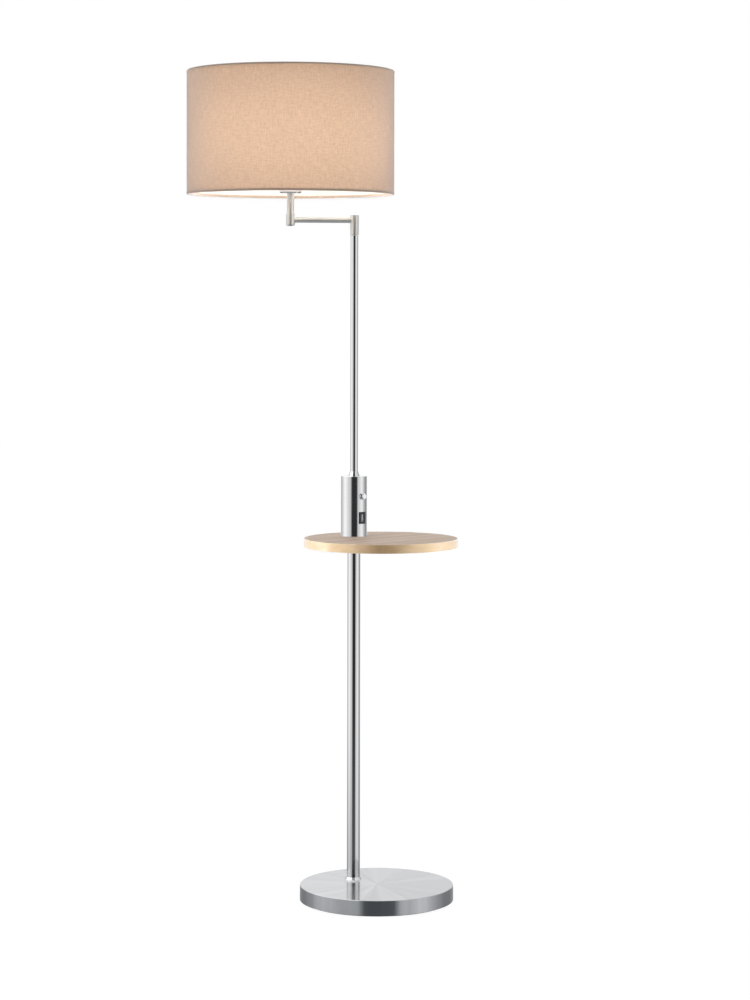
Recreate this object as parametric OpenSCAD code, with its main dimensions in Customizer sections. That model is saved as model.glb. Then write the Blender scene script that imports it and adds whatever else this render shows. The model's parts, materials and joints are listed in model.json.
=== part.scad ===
// Floor lamp with a round side table, a swing arm, a push switch and a charging socket.
// Millimetres, +Z up. The origin is on the floor, under the middle of the base, and the
// front of the lamp, where the table reaches out, is towards -Y.

/* [Base] */
// Diameter of the base
base_d = 295; // [280:1:340]
// Height of the base, from the floor to the top of its cover
base_h = 30.5; // [28:0.1:38]
// Radius of the cover's top edge
cover_edge_r = 1.4; // [1:0.1:4]
// Sheet thickness of the base cover
cover_wall = 1.2; // [0.8:0.1:1.6]
// Thickness of the pad under the base
pad_t = 2; // [1:0.1:3]
// Thickness of the steel plate that closes the base
plate_t = 1.5; // [1:0.1:2.5]
// Thickness of the cast weight's disc
weight_t = 16; // [15:0.1:17.5]
// Width of the cast weight's rim
weight_rim = 12; // [10:0.5:16]
// Distance of the pole's axis behind the middle of the base
pole_setback = 63.6; // [50:0.1:75]
// Height of the cone round the foot of the pole
base_collar_h = 4.8; // [3:0.1:14]
// Width of that cone's foot beyond the pole, on each side
base_collar_flare = 3.5; // [2:0.1:6]

/* [Cable inlet] */
// Diameter of the hole for the mains lead
inlet_d = 7; // [5.5:0.1:8]
// Height of that hole above the floor
inlet_z = 10; // [9:0.1:11]

/* [Lower pole and table] */
// Diameter of the lower pole
pole_d = 25.4; // [22:0.1:32]
// Wall of the lower pole
pole_wall = 1.5; // [1:0.1:2.5]
// Height of the table's top above the floor
table_z = 697.6; // [600:0.1:760]
// Diameter of the table
table_d = 295; // [260:1:340]
// Thickness of the table
table_t = 16.8; // [14:0.1:24]
// Thickness of the strip glued round the table's edge
band_t = 1; // [0.9:0.1:2]
// Radius of the strip's two edges
band_edge_r = 0.8; // [0.4:0.1:0.85]
// Distance of the pole's axis behind the middle of the table
table_setback = 73.7; // [50:0.1:90]
// Diameter of the flange under the table
flange_d = 70; // [62:1:90]
// Thickness of that flange
flange_t = 2.5; // [2:0.1:4]

/* [Housing] */
// Diameter of the housing on the table
housing_d = 50.8; // [49:0.1:58]
// Wall of the housing
housing_wall = 1.4; // [1:0.1:2]
// Height of the housing with its cap
housing_h = 115.9; // [112:0.1:130]
// Thickness of the cap's rim
cap_t = 2.5; // [1.5:0.1:4]
// Turn of the switch and socket from straight ahead
controls_turn = -5; // [-30:1:30]

/* [Switch] */
// Height of the switch above the table
switch_z = 77.4; // [76:0.1:82]
// Diameter of the bezel
bezel_d = 13.3; // [13:0.1:16]
// How far the bezel stands out of the housing
bezel_out = 3.5; // [2.5:0.1:4.5]
// How far the button stands out of the housing
button_out = 7.2; // [7:0.1:9]
// Travel of the button
button_travel = 2.5; // [1:0.1:2.6]

/* [Charging socket] */
// Height of the socket above the table
usb_z = 36; // [35:0.1:37]
// Width of the socket's plate
usb_plate_w = 15.6; // [14:0.1:20]
// Height of the plate
usb_plate_h = 23; // [20:0.1:26]
// How far the plate stands out of the housing
usb_plate_out = 0.9; // [0.8:0.1:3]
// Width of the socket's mouth
usb_mouth_w = 5.2; // [5:0.1:6]
// Height of the mouth
usb_mouth_h = 12.6; // [12:0.1:14]

/* [Upper pole] */
// Diameter of the upper pole
upper_d = 15; // [14.6:0.1:18]
// Wall of the upper pole
upper_wall = 1.2; // [1:0.1:1.5]
// Height of the cone round the foot of the upper pole
upper_collar_h = 9; // [5:0.5:14]
// Width of that cone's foot beyond the pole, on each side
upper_collar_flare = 3.5; // [2:0.1:5]

/* [Arm] */
// Height of the arm's axis above the floor
arm_z = 1308; // [1200:1:1400]
// Length of the arm, from pivot to pivot
arm_len = 124.6; // [100:0.1:160]
// Direction of the arm at rest, counted from +X
arm_turn = 144.2; // [90:0.1:200]
// Diameter of the arm tube
arm_d = 11; // [8:0.1:11.6]
// Wall of the arm tube
arm_wall = 1; // [0.8:0.1:1.5]
// Diameter of the sleeve at the pole
sleeve_d = 16.5; // [16:0.1:20]
// Height of that sleeve
sleeve_h = 38; // [34:0.1:50]
// Height of the sleeve's top above the arm's axis
sleeve_over = 9.4; // [8.5:0.1:12]
// Diameter of the sleeve at the arm's end
end_d = 16.8; // [16:0.1:20]
// Height of the end sleeve
end_h = 22.8; // [21:0.1:30]
// Height of the end sleeve's top above the arm's axis
end_over = 11.6; // [11:0.1:13]
// Wall of both sleeves
sleeve_wall = 1.3; // [1:0.1:1.5]

/* [Lamp head] */
// Diameter of the stub tube
stub_d = 13.5; // [13:0.1:16]
// Wall of the stub tube
stub_wall = 1.2; // [1:0.1:1.4]
// Length of the stub tube
stub_h = 38.9; // [34:0.1:80]
// Diameter of the cup round the lampholder
cup_d = 43.6; // [43:0.1:50]
// Height of the cup
cup_h = 40; // [36:0.1:50]
// Wall of the cup
cup_wall = 1; // [0.8:0.1:1.5]
// Diameter of the bulb's globe
bulb_d = 60; // [50:0.5:70]
// Height of the globe's middle above the bulb's base
bulb_rise = 52; // [46:0.5:60]

/* [Shade] */
// Diameter of the shade
shade_d = 400; // [340:1:450]
// Height of the shade
shade_h = 238; // [200:1:300]
// How far the shade reaches below the cup
shade_drop = 2.8; // [1:0.1:8]
// Thickness of the fabric
fabric_t = 0.8; // [0.5:0.1:1.5]
// Thickness of the lining
lining_t = 0.6; // [0.3:0.1:1]
// Depth of the fold along each edge of the fabric
hem_h = 5; // [3:0.5:10]
// Diameter of the wire of the rings and the spider
wire_d = 3.5; // [2.5:0.1:5]

/* [Hidden] */
$fn = 96;
over = 1;            // how far a cut runs past the face that it opens

// Clearances
seat = 0.05;         // between pieces that are pressed, glued or screwed together
slack = 0.3;         // between pieces that move past each other
running = 0.05;      // all round a pivot in its bore
loose = 0.2;         // round a fastener in a plain hole

// Threaded tubes, their nuts and the wiring
m10_r = 5;
m10_bore_r = 3.2;
m8_r = 4;
m8_bore_r = 2.7;
nut_t = 5;
nut_over = 3.6;      // reach of a nut's corners beyond its thread
thread_end = 1.2;    // how far a threaded tube stands out of its nut
plug_h = 16;         // length of a threaded plug in a tube's end
grip = 12;           // how far a threaded tube reaches into a plug
wire_r = 1;
wire_pitch = 2.1;
bend_r = 6;

// Base
base_r = base_d / 2;
cover_in_r = base_r - cover_wall;
plate_top = pad_t + plate_t;
cover_in_z = base_h - cover_wall;
weight_z = cover_in_z - weight_t;
recess_h = 8;        // depth of the nut's recess in the weight
recess_z = weight_z + recess_h;
recess_r = 18;
weight_r = cover_in_r - slack;
rim_in_r = weight_r - weight_rim;
screw_ring_r = weight_r - weight_rim / 2;
screw_turns = [30, 150, 270];
screw_r = 2;
screw_head_r = 3.6;
screw_l = 13;
base_nut_z = recess_z - nut_t;
base_nipple_z = base_nut_z - thread_end;

// Cable inlet and terminal block
grommet_r = inlet_d / 2 + 1.6;
grommet_flange_t = 1.5;
grommet_flange_r = grommet_r + 1.8;
grommet_in = 3.3;    // how far the grommet reaches inside the skirt
block_size = [14, 20, 8];
block_gap = 3;       // from the block to the weight's rim
block_y = rim_in_r - block_gap - block_size.y;
notch_w = 2 * grommet_r + 3;

// Lower pole and table
pole_r = pole_d / 2;
pole_in_r = pole_r - pole_wall;
base_lip = 0.4;      // thickness of the upper edge of the cone round its foot
table_under = table_z - table_t;
pole_top = table_under - flange_t;
table_shift = pole_setback - table_setback;
flange_screw_ring = (pole_r + flange_d / 2) / 2;
flange_screw_r = 1.8;
flange_screw_l = 11;
flange_head_r = 3.4;
flange_head_t = 1.8;
foot_t = 6;
table_nut_z = table_z + foot_t;

// Housing
housing_r = housing_d / 2;
housing_in_r = housing_r - housing_wall;
housing_top = table_z + housing_h;
tube_top = housing_top - cap_t;
cap_skirt = 5;       // how far the cap reaches into the housing
cap_edge_r = 0.6;

// Switch, counted outwards from the housing's axis
bezel_r = bezel_d / 2;
button_r = bezel_r - 1.4;
barrel_bore_r = button_r + slack;
barrel_r = bezel_r - 0.6;
bezel_front = housing_r + bezel_out;
bezel_lip = 0.8;
bezel_edge = 0.5;
barrel_front = bezel_front - bezel_lip;
button_front = housing_r + button_out;
button_edge_r = 1;
switch_nut_r = barrel_r + 2.2;
switch_nut_t = 3;
switch_nut_front = sqrt(housing_in_r * housing_in_r - switch_nut_r * switch_nut_r) - seat;
switch_floor = switch_nut_front - switch_nut_t - 1;
switch_can_l = 10;
switch_can_r = barrel_r + 1.2;
switch_back = switch_floor - switch_can_l;
button_back = switch_floor + button_travel + slack;

// Charging socket, counted outwards from the housing's axis
usb_front = housing_r + usb_plate_out;
plate_step = 0.7;    // rim of the plate, lower than its middle
usb_wall = 0.4;
usb_shell_w = usb_mouth_w + 2 * usb_wall;
usb_shell_h = usb_mouth_h + 2 * usb_wall;
usb_body_w = usb_shell_w + 5;
usb_body_h = usb_shell_h + 4;
usb_shell_front = usb_front - 1;
usb_depth = 13.5;
usb_shell_back = usb_shell_front - usb_depth;
usb_clip_back = housing_in_r - 6;
tongue_t = 2.3;
tongue_h = usb_mouth_h - 1.6;
board_t = 1.6;
board_size = [24, 30];
board_back = usb_shell_back - board_t;
converter_size = [15, 20, 6];

// Wiring inside the housing
converter_top = usb_z + converter_size.y / 2;
connector_r = 8;
connector_h = 13;
lead_l = 2.6;
lead_r = 0.8;
lead_x = 3;
connector_z = table_z + converter_top + lead_l;
connector_top = connector_z + connector_h;
lead_y = board_back - converter_size.z + 1.5;

// Upper pole
upper_r = upper_d / 2;
upper_in_r = upper_r - upper_wall;
upper_grip = 10;
upper_lip = 0.3;     // thickness of the cone's upper edge

// Arm and its pivots
sleeve_r = sleeve_d / 2;
sleeve_z = arm_z + sleeve_over - sleeve_h;
sleeve_top = arm_z + sleeve_over;
chamber_r = sleeve_r - sleeve_wall;
neck_r = chamber_r - 1.6;
pivot_bore_r = 3;
washer_t = 0.8;
upper_top = sleeve_z - slack - washer_t;
pivot_nut_t = 3.5;
chamber_z = arm_z - arm_d / 2 - 3 - pivot_nut_t;
pivot_top = chamber_z + slack + pivot_nut_t;
sleeve_cap_t = 1.6;
sleeve_bevel = 0.6;
arm_r = arm_d / 2;
arm_in_r = arm_r - arm_wall;

end_r = end_d / 2;
end_z = arm_z + end_over - end_h;
end_top = arm_z + end_over;
end_in_r = end_r - sleeve_wall;
end_neck_r = end_in_r - 2;
end_floor_t = 2;
end_shoulder_z = end_top - 3.2;
end_chamfer = 1.6;
end_bevel = 0.8;
end_hole_r = 3;
plug_rim = 0.8;      // how far the plug's head covers the edge of its hole
plug_head_t = 0.6;
stub_nut_t = 2.6;
stub_spigot_z = end_shoulder_z - slack - stub_nut_t;

// Lamp head
stub_r = stub_d / 2;
stub_in_r = stub_r - stub_wall;
stub_z = end_top + slack;
stub_top = stub_z + stub_h;
stub_plug_h = 12;
stub_grip = 9;
cup_r = cup_d / 2;
cup_floor = stub_top + cup_wall;
cup_edge = 2.5;      // bevel round the cup's foot
holder_base_t = 6;
shoulder_z = stub_top + cup_h + loose;
shoulder_r = cup_r - cup_wall - loose;
shoulder_t = 3;
holder_r = shoulder_r - 2.5;
neck_out_r = 16.6;
neck_h = 13;
cavity_r = 14.9;
cavity_z = shoulder_z - 17;
partition_t = 4;
wire_room_r = 8;
shell_t = 0.6;
contact_h = 2.5;
contact_r = 4;
bulb_base_r = cavity_r - shell_t - 3 * loose;
bulb_tip_z = cavity_z + contact_h;
bulb_tip_r = 5;
bulb_base_z = bulb_tip_z + 3;
bulb_neck_z = shoulder_z + neck_h - 2;
bulb_r = bulb_d / 2;
glass_t = 1.2;
globe_z = bulb_neck_z + bulb_rise;

// Shade
shade_r = shade_d / 2;
shade_z = stub_top - shade_drop;
shade_top = shade_z + shade_h;
hem_t = 0.4;
fabric_r = shade_r - hem_t;
lining_r = fabric_r - fabric_t;
ring_r = lining_r - lining_t - 2 * seat - wire_d / 2;
ring_low_z = shade_z + wire_d / 2;
ring_high_z = shade_top - wire_d / 2;
spider_t = 1.6;
spider_arm_r = cup_r + 0.5;  // where the arms start, clear of the cup's rim
spider_r = cup_r + 1.6;
spider_turns = [45, 165, 285];
shade_nut_h = 6;

// Places
module at_pole() translate([0, pole_setback, 0]) children();
module at_arm() at_pole() rotate([0, 0, arm_turn]) children();
module at_head() at_arm() translate([arm_len, 0, 0]) children();
// Draws in the plane of the housing's front: x across, y up, z outwards from the axis
module on_front(height) {
    at_pole()
        rotate([0, 0, controls_turn])
            translate([0, 0, table_z + height])
                rotate([90, 0, 0])
                    children();
}

// Shapes
module up(z) translate([0, 0, z]) children();
module tube(r_out, r_in, h) {
    difference() {
        cylinder(r = r_out, h = h);
        up(-over) cylinder(r = r_in, h = h + 2 * over);
    }
}
module hex_nut(thread_r, reach, h) {
    difference() {
        cylinder(r = thread_r + reach, h = h, $fn = 6);
        up(-over) cylinder(r = thread_r + seat, h = h + 2 * over);
    }
}
module collar(bore_r, foot_r, top_r, h) {
    difference() {
        cylinder(r1 = foot_r, r2 = top_r, h = h);
        up(-over) cylinder(r = bore_r, h = h + 2 * over);
    }
}
module ring_torus(r, wire_r) rotate_extrude() translate([r, 0]) circle(r = wire_r, $fn = 32);
// Half profile of a disc with a round top edge
module disc_profile(r, h, edge) {
    square([r - edge, h]);
    square([r, h - edge]);
    translate([r - edge, h - edge]) circle(r = edge, $fn = 48);
}
module rod(a, b, r) {
    d = b - a;
    translate(a)
        rotate([0, acos(d.z / norm(d)), atan2(d.y, d.x)])
            cylinder(r = r, h = norm(d));
}
// The two wires of a lead, side by side along Y
module wire_pair() {
    for (side = [-1, 1])
        translate([0, side * wire_pitch / 2, 0])
            children();
}
// Quarter turn in the XZ plane, from straight up at the origin to level towards +X
module bend() {
    translate([bend_r, 0, 0])
        rotate([90, 0, 0])
            rotate([0, 0, 90])
                rotate_extrude(angle = 90)
                    translate([bend_r, 0])
                        circle(r = wire_r, $fn = 24);
}
module housing_cutter() rotate([90, 0, 0]) cylinder(r = housing_r + seat / 2, h = 80, center = true);

// Base
module base_pad() color("#2b2b2d") cylinder(r = cover_in_r - 4, h = pad_t);

module base_plate() {
    color("#5c5f63")
    difference() {
        up(pad_t) cylinder(r = cover_in_r - loose, h = plate_t);
        base_screw_places()
            up(pad_t - seat)
                cylinder(r1 = screw_head_r + loose, r2 = screw_r + loose, h = plate_t + 2 * seat);
    }
}

module base_screw_places() {
    for (turn = screw_turns)
        rotate([0, 0, turn])
            translate([screw_ring_r, 0, 0])
                children();
}

module base_screws() {
    color("#8d9094")
    base_screw_places() {
        up(pad_t + seat) cylinder(r1 = screw_head_r, r2 = screw_r, h = plate_t);
        up(pad_t + seat) cylinder(r = screw_r, h = screw_l);
    }
}

module base_weight() {
    color("#3a3b3d")
    difference() {
        union() {
            up(weight_z) rotate_extrude() disc_profile(weight_r, weight_t, cover_edge_r);
            up(plate_top) tube(weight_r, rim_in_r, weight_z - plate_top + over);
        }
        at_pole() {
            up(weight_z - over) cylinder(r = m10_r + loose, h = weight_t + 2 * over);
            up(weight_z - over) cylinder(r = recess_r, h = recess_h + over);
        }
        translate([-notch_w / 2, 0, plate_top - over])
            cube([notch_w, base_r, recess_z - plate_top + over]);
        base_screw_places()
            up(plate_top - over) cylinder(r = screw_r + seat, h = screw_l + over);
    }
}

module base_cover() {
    color("#c9cacc")
    difference() {
        up(pad_t) rotate_extrude() disc_profile(base_r, base_h - pad_t, cover_edge_r);
        up(pad_t - over)
            rotate_extrude()
                disc_profile(cover_in_r, cover_in_z - pad_t + over, cover_edge_r - cover_wall / 2);
        at_pole() cylinder(r = m10_r + loose, h = base_h + over);
        translate([0, cover_in_r - over, inlet_z])
            rotate([-90, 0, 0])
                cylinder(r = grommet_r + seat, h = cover_wall + 2 * over);
    }
}

module base_collar() {
    color("#d5d6d8")
    at_pole()
        up(base_h)
            collar(pole_r + seat, pole_r + base_collar_flare, pole_r + base_lip, base_collar_h);
}

module base_nipple() {
    color("#b9a25e")
    at_pole()
        up(base_nipple_z)
            tube(m10_r, m10_bore_r, base_h + grip - base_nipple_z);
}

module nipple_nuts() {
    color("#b4b6b9")
    at_pole() {
        up(base_nut_z) hex_nut(m10_r, nut_over, nut_t);
        up(table_nut_z) hex_nut(m10_r, nut_over, nut_t);
    }
}

module cable_grommet() {
    color("#1c1c1e")
    translate([0, base_r + grommet_flange_t, inlet_z])
        rotate([90, 0, 0])
            difference() {
                union() {
                    cylinder(r = grommet_flange_r, h = grommet_flange_t);
                    cylinder(r = grommet_r, h = grommet_flange_t + cover_wall + grommet_in);
                }
                up(-over) cylinder(d = inlet_d, h = base_r);
            }
}

module terminal_block() {
    color("#e4e2da")
    translate([-block_size.x / 2, block_y, plate_top])
        cube(block_size);
}

// Lower pole and table
module lower_pole() {
    color("#cfd0d2")
    at_pole() up(base_h) tube(pole_r, pole_in_r, pole_top - base_h);
}

module pole_plugs() {
    color("#8d9094")
    at_pole() {
        up(base_h) tube(pole_in_r - seat, m10_r + seat, plug_h);
        up(pole_top - plug_h) tube(pole_in_r - seat, m10_r + seat, plug_h);
    }
}

module flange_screw_places() {
    at_pole()
        for (turn = screw_turns)
            rotate([0, 0, turn])
                translate([flange_screw_ring, 0, 0])
                    children();
}

module table_flange() {
    color("#b4b6b9")
    difference() {
        at_pole() up(pole_top) tube(flange_d / 2, m10_r + loose, flange_t);
        flange_screw_places()
            up(pole_top - over) cylinder(r = flange_screw_r + loose, h = flange_t + 2 * over);
    }
}

module flange_screws() {
    color("#8d9094")
    flange_screw_places() {
        up(pole_top - flange_head_t) cylinder(r = flange_head_r, h = flange_head_t);
        up(pole_top - over) cylinder(r = flange_screw_r, h = flange_screw_l + flange_t);
    }
}

module table_top() {
    color("#bda58f")
    difference() {
        translate([0, table_shift, table_under])
            cylinder(r = table_d / 2 - band_t, h = table_t);
        at_pole() up(table_under - over) cylinder(r = m10_r + loose, h = table_t + 2 * over);
        flange_screw_places()
            up(table_under - over) cylinder(r = flange_screw_r + seat, h = flange_screw_l + over);
    }
}

module table_edge_band() {
    color("#d9c79f")
    translate([0, table_shift, table_under])
        rotate_extrude()
            translate([table_d / 2 - band_t + seat, 0])
                band_profile(band_t - seat, table_t, band_edge_r);
}

// Cross-section of the strip, with both outer corners round
module band_profile(w, h, edge) {
    square([w - edge, h]);
    translate([0, edge]) square([w, h - 2 * edge]);
    intersection() {
        square([w, h]);
        for (z = [edge, h - edge])
            translate([w - edge, z]) circle(r = edge, $fn = 48);
    }
}

module table_nipple() {
    color("#b9a25e")
    at_pole()
        up(pole_top - grip)
            tube(m10_r, m10_bore_r, table_nut_z + nut_t + thread_end - pole_top + grip);
}

// Housing
module housing_foot() {
    color("#8d9094")
    at_pole() up(table_z) tube(housing_in_r - seat, m10_r + seat, foot_t);
}

module housing() {
    color("#c4c6c9")
    difference() {
        at_pole() up(table_z) tube(housing_r, housing_in_r, tube_top - table_z);
        on_front(switch_z) cylinder(r = barrel_r + seat, h = housing_r + over);
        on_front(usb_z)
            translate([-usb_body_w / 2 - seat, -usb_body_h / 2 - seat, 0])
                cube([usb_body_w + 2 * seat, usb_body_h + 2 * seat, housing_r + over]);
    }
}

module housing_cap() {
    color("#c9cbce")
    at_pole()
        difference() {
            union() {
                up(tube_top) rotate_extrude() disc_profile(housing_r, cap_t, cap_edge_r);
                up(tube_top - cap_skirt) cylinder(r = housing_in_r - seat, h = cap_skirt);
            }
            up(tube_top - cap_skirt - over)
                cylinder(r = m8_r + seat, h = cap_skirt + cap_t + 2 * over);
        }
}

module upper_nipple() {
    color("#b9a25e")
    at_pole()
        up(tube_top - cap_skirt)
            tube(m8_r, m8_bore_r, cap_skirt + cap_t + upper_grip);
}

// Switch
module switch_bezel() {
    color("#dcdde0")
    on_front(switch_z)
        difference() {
            union() {
                cylinder(r = bezel_r, h = bezel_front - bezel_edge);
                up(bezel_front - bezel_edge)
                    cylinder(r1 = bezel_r, r2 = bezel_r - bezel_edge, h = bezel_edge);
            }
            up(-over) cylinder(r = barrel_r + seat, h = barrel_front + over);
            cylinder(r = barrel_bore_r, h = bezel_front + over);
            housing_cutter();
        }
}

module switch_body() {
    color("#3c3e42")
    on_front(switch_z)
        difference() {
            union() {
                up(switch_back) cylinder(r = switch_can_r, h = switch_can_l);
                up(switch_floor - over) cylinder(r = barrel_r, h = barrel_front - switch_floor + over);
            }
            up(switch_floor) cylinder(r = barrel_bore_r, h = barrel_front);
        }
}

module switch_nut() {
    color("#b4b6b9")
    on_front(switch_z)
        up(switch_nut_front - switch_nut_t)
            hex_nut(barrel_r, switch_nut_r - barrel_r, switch_nut_t);
}

module switch_button() {
    color("#e6e7ea")
    on_front(switch_z) {
        up(button_back)
            rotate_extrude()
                disc_profile(button_r, button_front - button_back, button_edge_r);
    }
}

// Charging socket
module usb_plate() {
    color("#1b1c1f")
    on_front(usb_z)
        difference() {
            union() {
                difference() {
                    union() {
                        usb_block(usb_plate_w, usb_plate_h, 0, usb_front - plate_step);
                        usb_block(usb_plate_w - 2 * plate_step, usb_plate_h - 2 * plate_step, 0, usb_front);
                    }
                    housing_cutter();
                }
                usb_block(usb_body_w, usb_body_h, usb_clip_back, usb_front - plate_step);
            }
            usb_block(usb_shell_w + 2 * seat, usb_shell_h + 2 * seat, 0, usb_front + over);
        }
}

module usb_block(w, h, back, front) {
    translate([-w / 2, -h / 2, back])
        cube([w, h, front - back]);
}

module usb_shell() {
    color("#b9bcc0")
    on_front(usb_z)
        difference() {
            usb_block(usb_shell_w, usb_shell_h, usb_shell_back, usb_shell_front);
            usb_block(usb_mouth_w, usb_mouth_h, usb_shell_back + usb_wall, usb_shell_front + over);
        }
}

module usb_tongue() {
    color("#d8d9da")
    on_front(usb_z)
        translate([0, -tongue_h / 2, usb_shell_back + usb_wall])
            cube([tongue_t, tongue_h, usb_depth - usb_wall - 1]);
}

module usb_board() {
    color("#2e6b46")
    on_front(usb_z) {
        usb_block(board_size.x, board_size.y, board_back, usb_shell_back);
        usb_block(converter_size.x, converter_size.y, board_back - converter_size.z, board_back);
    }
}

// Wiring in the stand
module wire_connector() {
    color("#d8d2b8")
    at_pole() up(connector_z) cylinder(r = connector_r, h = connector_h);
}

module stand_wires() {
    color("#ece9e1")
    {
        at_pole()
            rotate([0, 0, 90]) {
                entry_z = base_nipple_z - 2;
                level_z = entry_z - bend_r;
                wire_pair() {
                    up(entry_z) cylinder(r = wire_r, h = connector_z - entry_z);
                    up(entry_z) mirror([0, 0, 1]) bend();
                    translate([bend_r, 0, level_z])
                        rotate([0, 90, 0])
                            cylinder(r = wire_r, h = block_y - pole_setback - bend_r);
                    up(connector_top)
                        cylinder(r = wire_r, h = pivot_top - slack - connector_top);
                }
            }
        for (side = [-1, 1]) {
            on_front(converter_top)
                translate([side * lead_x, 0, lead_y])
                    rotate([-90, 0, 0])
                        cylinder(r = lead_r, h = lead_l);
            on_front(connector_top - table_z)
                translate([side * lead_x, 0, lead_y])
                    rotate([-90, 0, 0])
                        cylinder(r = lead_r, h = table_z + switch_z - switch_can_r - connector_top);
        }
    }
}

// Upper pole and its pivot
module upper_collar() {
    color("#dcdde0")
    at_pole()
        up(housing_top)
            collar(upper_r + seat, upper_r + upper_collar_flare, upper_r + upper_lip, upper_collar_h);
}

module upper_pole_foot() {
    color("#8d9094")
    at_pole() up(housing_top) tube(upper_in_r - seat, m8_r + seat, plug_h);
}

module upper_pole() {
    color("#cfd0d2")
    at_pole() up(housing_top) tube(upper_r, upper_in_r, upper_top - housing_top);
}

module pivot_spigot() {
    color("#b9a25e")
    at_pole()
        difference() {
            union() {
                up(upper_top - plug_h) cylinder(r = upper_in_r - seat, h = plug_h);
                up(upper_top - over) cylinder(r = neck_r, h = pivot_top - upper_top + over);
            }
            up(upper_top - plug_h - over) cylinder(r = pivot_bore_r, h = pivot_top);
        }
}

module pivot_washer() {
    color("#f0efe8")
    at_pole() up(upper_top) tube(upper_r, neck_r + seat, washer_t);
}

module pivot_nut() {
    color("#b4b6b9")
    at_pole() up(chamber_z + slack) tube(chamber_r - slack, neck_r + seat, pivot_nut_t);
}

// Arm
module arm_sleeve() {
    color("#cccac6")
    difference() {
        at_pole() {
            up(sleeve_z)
                cylinder(r1 = sleeve_r - sleeve_bevel, r2 = sleeve_r, h = sleeve_bevel);
            up(sleeve_z + sleeve_bevel)
                cylinder(r = sleeve_r, h = sleeve_h - sleeve_bevel);
        }
        at_pole() {
            up(sleeve_z - over) cylinder(r = neck_r + running, h = sleeve_h);
            up(chamber_z) cylinder(r = chamber_r, h = sleeve_h);
        }
        at_arm() up(arm_z) rotate([0, 90, 0]) cylinder(r = arm_in_r, h = sleeve_d);
    }
}

module arm_sleeve_cap() {
    color("#cccac6")
    at_pole()
        up(sleeve_top - sleeve_cap_t)
            cylinder(r = chamber_r - seat, h = sleeve_cap_t);
}

module arm_tube() {
    color("#c4c2be")
    difference() {
        at_arm() up(arm_z) rotate([0, 90, 0]) tube(arm_r, arm_in_r, arm_len);
        at_pole() up(sleeve_z) cylinder(r = sleeve_r + seat / 2, h = 2 * sleeve_h);
        at_head() up(end_z - end_h) cylinder(r = end_r + seat / 2, h = 3 * end_h);
    }
}

module end_sleeve() {
    color("#cccac6")
    difference() {
        at_head() {
            up(end_z)
                cylinder(r1 = end_r - end_chamfer, r2 = end_r, h = end_chamfer);
            up(end_z + end_chamfer)
                cylinder(r = end_r, h = end_h - end_chamfer - end_bevel);
            up(end_top - end_bevel)
                cylinder(r1 = end_r, r2 = end_r - end_bevel, h = end_bevel);
        }
        at_head() {
            up(end_z - over) cylinder(r = end_hole_r + seat, h = end_h);
            up(end_z + end_floor_t)
                cylinder(r = end_in_r, h = end_shoulder_z - end_z - end_floor_t);
            up(end_z + end_h / 2) cylinder(r = end_neck_r + running, h = end_h);
        }
        at_arm()
            translate([arm_len - end_d, 0, arm_z])
                rotate([0, 90, 0])
                    cylinder(r = arm_in_r, h = end_d);
    }
}

module end_plug() {
    color("#4a4a4c")
    at_head() {
        up(end_z - plug_head_t) cylinder(r = end_hole_r + plug_rim, h = plug_head_t);
        up(end_z - plug_head_t / 2) cylinder(r = end_hole_r, h = end_floor_t);
    }
}

module arm_wires() {
    color("#ece9e1")
    at_arm()
        wire_pair() {
            up(pivot_top) cylinder(r = wire_r, h = arm_z - bend_r - pivot_top);
            up(arm_z - bend_r) bend();
            translate([bend_r, 0, arm_z])
                rotate([0, 90, 0])
                    cylinder(r = wire_r, h = arm_len - 2 * bend_r);
            translate([arm_len, 0, arm_z + bend_r])
                mirror([0, 0, 1])
                    mirror([1, 0, 0])
                        bend();
        }
}

// Lamp head
module stub_tube() {
    color("#cccac6")
    at_head() up(stub_z) tube(stub_r, stub_in_r, stub_h);
}

module stub_spigot() {
    color("#b9a25e")
    at_head()
        difference() {
            union() {
                up(stub_z) cylinder(r = stub_in_r - seat, h = stub_plug_h);
                up(stub_spigot_z) cylinder(r = end_neck_r, h = stub_z - stub_spigot_z + over);
            }
            up(stub_spigot_z - over) cylinder(r = pivot_bore_r, h = stub_h);
        }
}

module stub_nut() {
    color("#b4b6b9")
    at_head() up(stub_spigot_z) tube(end_in_r - slack, end_neck_r + seat, stub_nut_t);
}

module stub_head() {
    color("#8d9094")
    at_head()
        up(stub_top - stub_plug_h)
            tube(stub_in_r - seat, m8_r + seat, stub_plug_h);
}

module holder_nipple() {
    color("#b9a25e")
    at_head()
        up(stub_top - stub_grip)
            tube(m8_r, m8_bore_r, stub_grip + cup_wall + holder_base_t);
}

module socket_cup() {
    color("#e3e1de")
    at_head()
        up(stub_top)
            difference() {
                union() {
                    cylinder(r1 = cup_r - cup_edge, r2 = cup_r, h = cup_edge);
                    up(cup_edge) cylinder(r = cup_r, h = cup_h - cup_edge);
                }
                up(cup_wall)
                    cylinder(r1 = cup_r - cup_edge - cup_wall, r2 = cup_r - cup_wall, h = cup_edge);
                up(cup_wall + cup_edge) cylinder(r = cup_r - cup_wall, h = cup_h);
                up(-over) cylinder(r = m8_r + loose, h = cup_h);
            }
}

module lampholder() {
    color("#f1efe9")
    at_head()
        difference() {
            union() {
                up(cup_floor) cylinder(r = holder_r, h = shoulder_z - cup_floor);
                up(shoulder_z - shoulder_t) cylinder(r = shoulder_r, h = shoulder_t);
                up(shoulder_z - over) cylinder(r = neck_out_r, h = neck_h + over);
            }
            up(cup_floor - over) cylinder(r = m8_r + seat, h = holder_base_t + 2 * over);
            up(cup_floor + holder_base_t)
                cylinder(r = wire_room_r, h = cavity_z - partition_t - cup_floor - holder_base_t);
            up(cavity_z) cylinder(r = cavity_r, h = shoulder_z + neck_h);
        }
}

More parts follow.
